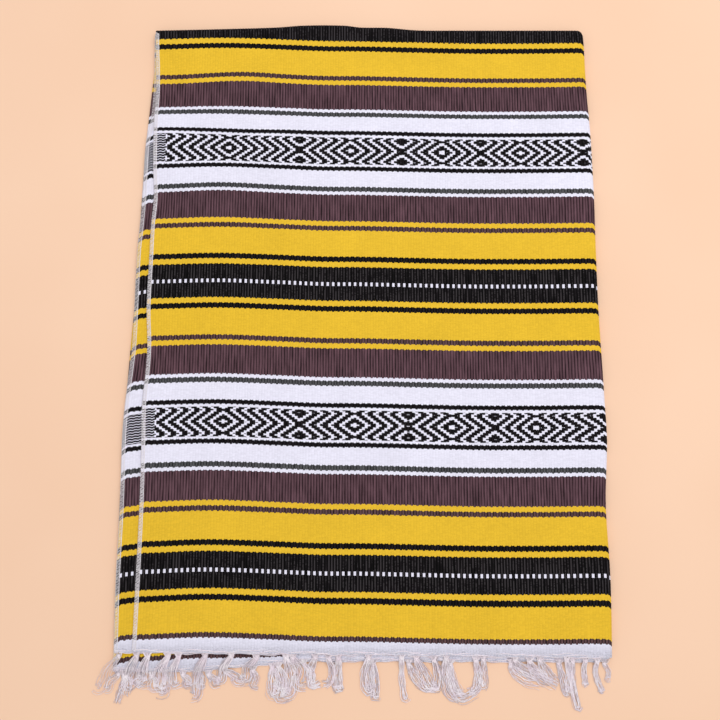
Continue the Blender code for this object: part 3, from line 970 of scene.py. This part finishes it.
def overlock(layer):
    """The bound left edge of one layer."""
    rng = random.Random(layer.level + OVERLOCK_SEED)
    start, end = hem(layer, 0) + SEAM_START, flat_top(0) - SEAM_END
    stitches = []
    y = start
    while y < end:
        x = left_edge(layer, y)
        low = top_of(layer, x + STITCH_BED_PLACE, y) - RIB_DEPTH * STITCH_BED - WALL
        bite = BITE + rng.uniform(-BITE_VARIES, BITE_VARIES)
        slant = SLANT + rng.uniform(-SLANT_VARIES, SLANT_VARIES)
        stitches.append([
            Vector((x + bite * point.bite - THREAD * point.beyond, y + slant * point.slant,
                    low + WALL * point.wall + THREAD * point.over)) for point in STITCH_POINTS])
        y += STITCH + rng.uniform(-STITCH_VARIES, STITCH_VARIES)
    chain = []
    steps = int((end - start) / (STITCH / 2))
    for step in range(steps):
        y = start + step * STITCH / 2
        x = left_edge(layer, y) + BITE + CHAIN_SWING * (-1) ** step
        chain.append(Vector((x, y, top_of(layer, x, y) + THREAD * CHAIN_RISE
                             - RIB_DEPTH * CHAIN_BED)))
    worn = 1.0 if layer is TOP else LOWER_THREAD
    meshes = [tube_routes(stitches, THREAD * worn, THREAD_SIDES),
              tube_routes([chain], THREAD * CHAIN_THREAD, THREAD_SIDES)]
    piece = thread_piece(meshes, layer.name + "_overlock", thread_white)
    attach(piece, "root")
    return piece


thread_white = cotton_thread("cotton_thread", dye(236, 230, 236), dye(250, 247, 251))
overlocks = {layer.name: overlock(layer) for layer in (BOTTOM, THIRD, SECOND, TOP)}


# Fringe: at each hem the warp ends are drawn together in tassels and knotted close to the cloth.
# The yarns lie over the lower hems, drop to the floor and curl there as the blanket was laid.
Tassel = namedtuple("Tassel", "layer x bow tip_x tip_y curl rise fan yarns")
TASSELS = [
    Tassel(SECOND, -20, -3, -46, -42, -3, 0, 5, 3),
    Tassel(THIRD, -21, -4, -33, -44, -4, 2, 5, 4),
    Tassel(THIRD, -14, 1, -20, -63, 0, 0, 3, 6),
    Tassel(BOTTOM, -10, 2, -12, -52, 0, 0, 7, 9),
    Tassel(TOP, 4, -3, -6, -38, 8, 4, 6, 9),
    Tassel(THIRD, 8, 3, 4, -37, 9, 6, 5, 8),
    Tassel(SECOND, 18.5, -3, 12, -35, 8, 3, 6, 8),
    Tassel(BOTTOM, 24, 2, 26, -41, 9, 2, 5, 7),
    Tassel(TOP, 46, -5, 36, -41, 10, 3, 6, 9),
    Tassel(THIRD, 42, 3, 40, -48, -5, 1, 5, 7),
    Tassel(SECOND, 60, -4, 54, -38, 8, 4, 5, 8),
    Tassel(BOTTOM, 66, 3, 70, -38, 9, 3, 5, 7),
    Tassel(TOP, 96, -4, 84, -50, -4, -2, 6, 9),
    Tassel(THIRD, 88, 1, 88, -38, 8, 3, 5, 7),
    Tassel(BOTTOM, 100, 4, 108, -36, 8, 1, 5, 7),
    Tassel(TOP, 131, -6, 118, -33, -8, -1, 5, 9),
    Tassel(THIRD, 122, 6, 140, -33, 10, 1, 5, 7),
    Tassel(SECOND, 165, -6, 152, -30, -7, 1, 6, 9),
    Tassel(BOTTOM, 160, 2, 162, -38, 5, 0, 4, 5),
    Tassel(BOTTOM, 186, 2, 188, -48, 7, 3, 8, 12),
    Tassel(THIRD, 194, 3, 197, -53, 9, 5, 8, 12),
    Tassel(SECOND, 205, 4, 209, -48, -8, 4, 8, 11),
    Tassel(TOP, 214, 6, 222, -36, 10, -2, 6, 8),
    Tassel(THIRD, 228, 5, 238, -38, 12, 2, 4, 6),
    Tassel(TOP, 244, -4, 240, -38, 12, 0, 5, 7),
    Tassel(SECOND, 262, 4, 262, -36, -9, -2, 4, 7),
    Tassel(TOP, 275, 0, 275, -43, 1, 2, 5, 10),
    Tassel(TOP, 316, -2, 316, -44, 2, 2, 7, 14),
    Tassel(THIRD, 322, 1, 325, -54, 1, 1, 5, 10),
    Tassel(TOP, 360, -2, 364, -54, 2, 0, 3, 6),
    Tassel(THIRD, 370, -5, 392, -40, 14, 2, 5, 8),
    Tassel(TOP, 380, 0, 398, -42, 12, 2, 7, 10),
    Tassel(SECOND, 404, 4, 408, -42, -8, 5, 5, 8),
    Tassel(TOP, 420, -3, 428, -50, 18, 1, 7, 12),
    Tassel(THIRD, 426, -5, 440, -56, 19, 9, 6, 11),
    Tassel(SECOND, 460, 4, 459, -44, -10, -4, 4, 9),
    Tassel(TOP, 470, 2, 470, -39, -2, 1, 4, 6),
    Tassel(THIRD, 508, -6, 530, -33, 16, -1, 6, 9),
    Tassel(TOP, 512, -3, 540, -27, 14, -4, 6, 10),
    Tassel(SECOND, 532, -2, 552, -34, 12, -3, 6, 9),
    Tassel(TOP, 546, 0, 562, -32, 9, -6, 6, 10),
    Tassel(THIRD, 572, 1, 580, -48, 3, 0, 4, 8),
    Tassel(TOP, 582, 1, 596, -66, 1, 0, 4, 9),
    Tassel(SECOND, 590, -1, 586, -43, 2, 2, 5, 8),
    Tassel(TOP, 607, 0, 607, -38, 1, 2, 3, 7),
    Tassel(SECOND, 623, -3, 628, -47, 1, 0, 3, 6),
    Tassel(THIRD, 634, 2, 637, -30, 2, 1, 3, 4),
]
YARN = 0.5
YARN_SIDES = 4
YARN_STEPS = 36
YARN_SQUASH = 0.68
YARN_TWIST = 0.9
YARN_TAPER = 0.8
YARN_SHARE = 2.3
FRINGE_SEED = 5

# How a tassel's yarns run: drawn together at the knot, then fanned out, each with its own length,
# sway and ripple on top of the tassel's wave. The knot is a yarn in a trefoil.
ROOT_REACH = 1.5
ROOT_HALF = 3.4
SHORTEST_TASSEL = 12.0
FAN_SHARE = 1.35
FAN_FULL = 0.75
SHORTER = 0.22
DRIFT = 0.8
DRIFT_BEND = 1.5
TASSEL_WAVE = (0.4, 1.4)
TASSEL_WAVE_PITCH = 5
SWAY = (0.3, 1.5)
SWAY_PITCH = 6
RIPPLE = (0.2, 0.75)
RIPPLE_PITCH = 24
WAVE_GROWTH = 4
ANY_TURN = 6.3
PILE_LOW = 0.25
PILE_RISE = 1.5
PILE_SETTLES = 0.55
SHADE_DEPTH = 0.55
KNOT_OUT = 5.5
KNOT_HALF = 3.2
KNOT_LIFT = 1.9
KNOT_SIZE = 0.713
KNOT_YARN = 0.8
KNOT_SQUASH = 0.8

# What yarns lie on: those of the two lower hems drop to the floor at once, and those of the two
# upper hems lie over the lower ones first.
LOW_LIE = 0.4
LOW_DROP_RUN = 7.0
UPPER_LIE = 0.5
UPPER_LIE_LEVEL = 1.6
UPPER_LIE_RUN = 4.0
DROP_RUN = 11.0

# Loose weft picks on the header, beside the hem.
LOOSE_PICKS = 3
PICK_STEPS = 130
PICK_INSET = 4
PICK_START = 0.4
PICK_APART = 1.5
PICK_WAVES = [Wave(0.6, 0.23, 3), Wave(0.9, 0.061, 2)]
PICK_LIFT = Wave(0.8, 0.09, 1.7)
PICK_SINK = 0.3
PICK_DEEPEST = 0.6


def smooth_route(points, count):
    """Evenly counted points on a smooth curve through a few."""
    route = []
    last = len(points) - 1
    for step in range(count):
        place = step / (count - 1) * last
        at = min(int(place), last - 1)
        share = place - at
        before, start, end, after = (points[min(max(at + offset, 0), last)]
                                     for offset in (-1, 0, 1, 2))
        route.append(0.5 * (2 * start + (end - before) * share
                            + (2 * before - 5 * start + 4 * end - after) * share ** 2
                            + (3 * start - before - 3 * end + after) * share ** 3))
    return route


def rest_height(layer, x, y):
    """Height of what a yarn of a layer lies on: the lower layers' hem, and then the floor."""
    if layer in (THIRD, BOTTOM):
        edge = hem(layer, x)
        lie = (layer.level + LOW_LIE) * CLOTH
        return max(0.0, lie * ease((y - edge + LOW_DROP_RUN) / LOW_DROP_RUN))
    from_second = y - hem(SECOND, x) + UPPER_LIE_RUN
    lie = 2 * CLOTH * stack_scale(x, y)
    lie += UPPER_LIE * CLOTH * (layer.level - UPPER_LIE_LEVEL) * ease(from_second / UPPER_LIE_RUN)
    return lie * ease((y - hem(THIRD, x) + DROP_RUN) / DROP_RUN)


def tassel_yarns(tassel, rng):
    """The yarns of one tassel from hem to tip, the shade of each, and the turns of its knot."""
    edge = hem(tassel.layer, tassel.x)
    knot_y = edge - KNOT_OUT
    tip_y = min(tassel.tip_y, knot_y - SHORTEST_TASSEL)
    half_y = (knot_y + tip_y) / 2
    spine = [Vector((tassel.x, edge + ROOT_REACH, 0)), Vector((tassel.x, edge - ROOT_REACH, 0)),
             Vector((tassel.x, knot_y, 0)),
             Vector(((tassel.x + tassel.tip_x) / 2 + tassel.bow, half_y, 0)),
             Vector((tassel.tip_x, tip_y, 0))]
    if tassel.curl:
        spine.append(Vector((tassel.tip_x + tassel.curl, tip_y + tassel.rise, 0)))
    middle = smooth_route(spine, YARN_STEPS)
    knot_share = 2 / (len(spine) - 1)
    wave, wave_turn = rng.uniform(*TASSEL_WAVE), rng.uniform(0, ANY_TURN)
    yarns = []
    shades = []
    count = round(tassel.yarns * YARN_SHARE)
    for number in range(count):
        lane = (number + 0.5) / count * 2 - 1
        stack = rng.random()
        length = 1 - SHORTER * rng.random() ** 2
        sway, sway_turn = rng.uniform(*SWAY), rng.uniform(0, ANY_TURN)
        ripple, ripple_turn = rng.uniform(*RIPPLE), rng.uniform(0, ANY_TURN)
        drift = rng.uniform(-DRIFT, DRIFT) * tassel.fan
        route = []
        for step in range(YARN_STEPS):
            share = step / (YARN_STEPS - 1) * length
            place = share * (YARN_STEPS - 1)
            at = min(int(place), YARN_STEPS - 2)
            point = middle[at].lerp(middle[at + 1], place - at)
            ahead = (middle[at + 1] - middle[at]).normalized()
            side = Vector((-ahead.y, ahead.x, 0))
            if share < knot_share:
                spread = ROOT_HALF * (1 - ease(share / knot_share)) + KNOT_HALF
                loose = 0.0
            else:
                loose = (share - knot_share) / (1 - knot_share)
                fan = tassel.fan * FAN_SHARE - KNOT_HALF
                spread = KNOT_HALF + fan * math.sin(math.pi * min(loose, FAN_FULL))
            offset = lane * spread + drift * loose ** DRIFT_BEND
            offset += sway * loose * math.sin(sway_turn + SWAY_PITCH * loose)
            offset += (ripple * math.sin(ripple_turn + RIPPLE_PITCH * loose)
                       + wave * math.sin(wave_turn + TASSEL_WAVE_PITCH * loose)
                       ) * min(WAVE_GROWTH * loose, 1)
            point = point + side * -offset
            height = rest_height(tassel.layer, point.x, point.y)
            pile = PILE_LOW + PILE_RISE * stack * (1 - PILE_SETTLES * loose)
            route.append(Vector((point.x, point.y, height + YARN + pile * YARN * 2)))
        yarns.append(route)
        # Painted shade: yarns low in the pile are darker.
        shades.append(1 - SHADE_DEPTH * (1 - stack) ** 2)
    loops = []
    knot_z = rest_height(tassel.layer, tassel.x, knot_y) + KNOT_LIFT
    centre = Vector((tassel.x, knot_y, knot_z))
    for step in range(YARN_STEPS):
        turn = 2 * math.pi * step / (YARN_STEPS - 1)
        loops.append(centre + KNOT_SIZE * Vector((math.cos(turn) - 2 * math.cos(2 * turn),
                                                  math.sin(turn) + 2 * math.sin(2 * turn),
                                                  -math.sin(3 * turn))))
    return yarns, shades, loops


def fringe(layer):
    """All the tassels of one hem."""
    rng = random.Random(layer.level + FRINGE_SEED)
    yarns, shades, knots = [], [], []
    for tassel in TASSELS:
        if tassel.layer is layer:
            routes, depths, loops = tassel_yarns(tassel, rng)
            yarns += routes
            shades += depths
            knots.append(loops)
    picks = []
    for number in range(LOOSE_PICKS):
        start, end = left_edge(layer, 0), flat_right(hem(layer, 0)) - PICK_INSET * number
        route = []
        for step in range(PICK_STEPS):
            x = start + (end - start) * step / (PICK_STEPS - 1)
            y = hem(layer, x) + PICK_START + PICK_APART * number + waves(PICK_WAVES, x, number)
            turn = PICK_LIFT.turn * number + layer.level
            lift = PICK_LIFT.height * math.sin(PICK_LIFT.pitch * x + turn) - PICK_SINK
            height = top_of(layer, x, hem(layer, x)) - RIB_DEPTH
            route.append(Vector((x, y, height + max(lift, -PICK_DEEPEST) * YARN)))
        picks.append(route)
    meshes = [tube_routes(yarns, YARN, YARN_SIDES, YARN_SQUASH, YARN_TWIST, YARN_TAPER, shades),
              tube_routes(picks, YARN, YARN_SIDES),
              tube_routes(knots, KNOT_YARN, YARN_SIDES, KNOT_SQUASH, YARN_TWIST)]
    piece = thread_piece(meshes, layer.name + "_fringe", fringe_yarn)
    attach(piece, "root")
    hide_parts("fringe_" + layer.name)
    return piece


fringe_yarn = cotton_thread("fringe_yarn", dye(243, 229, 239), dye(254, 247, 252))
fringes = {layer.name: fringe(layer) for layer in (BOTTOM, THIRD, SECOND, TOP)}


# Studio: a plain pale floor, one broad soft lamp from the upper right and an even surround.
FLOOR_HALF = 3.0
MOTTLE_SCALE = 3.0
floor_mesh = bmesh.new()
bmesh.ops.create_grid(floor_mesh, x_segments=1, y_segments=1, size=FLOOR_HALF)
floor_data = bpy.data.meshes.new("floor")
floor_mesh.to_mesh(floor_data)
floor_mesh.free()
floor = put_in_scene("floor", floor_data)
floor_paint = Surface("floor_paint")
floor_where = floor_paint.add("ShaderNodeTexCoord").outputs["Object"]
mottle = floor_paint.noise(floor_where, MOTTLE_SCALE, dimensions="3D")
floor_colour = floor_paint.ramp(
    mottle, [(0.3, dye(234, 195, 166)), (0.7, dye(237, 200, 172))], "LINEAR")
floor_paint.join(floor_colour, floor_paint.shader.inputs["Base Color"])
floor_paint.shader.inputs["Roughness"].default_value = 0.9
floor.data.materials.append(floor_paint.material)

lamp_data = bpy.data.lights.new("soft_lamp", "AREA")
lamp_data.energy = 32.0
lamp_data.size = 2.0
lamp = put_in_scene("soft_lamp", lamp_data)
lamp.location = (0.5, 0.65, 2.3)
lamp.rotation_euler = (Vector((0, 0.05, 0)) - lamp.location).to_track_quat("-Z", "Y").to_euler()
world = bpy.data.worlds.new("surround")
world.use_nodes = True
world.node_tree.nodes["Background"].inputs["Color"].default_value = (1.0, 0.99, 0.98, 1)
world.node_tree.nodes["Background"].inputs["Strength"].default_value = 0.75
bpy.context.scene.world = world
bpy.context.scene.view_settings.view_transform = "Standard"

CAMERA_PLAN = (304.2, 236.0)
CAMERA_HEIGHT = 1123.8
CAMERA_TILT = 8.474
camera_data = bpy.data.cameras.new("camera")
camera_data.lens = 39.8
camera_data.sensor_width = 36.0
camera = put_in_scene("camera", camera_data)
camera.location = to_frame(*CAMERA_PLAN, CAMERA_HEIGHT)
camera.rotation_euler = (math.radians(CAMERA_TILT), 0, 0)
bpy.context.scene.camera = camera
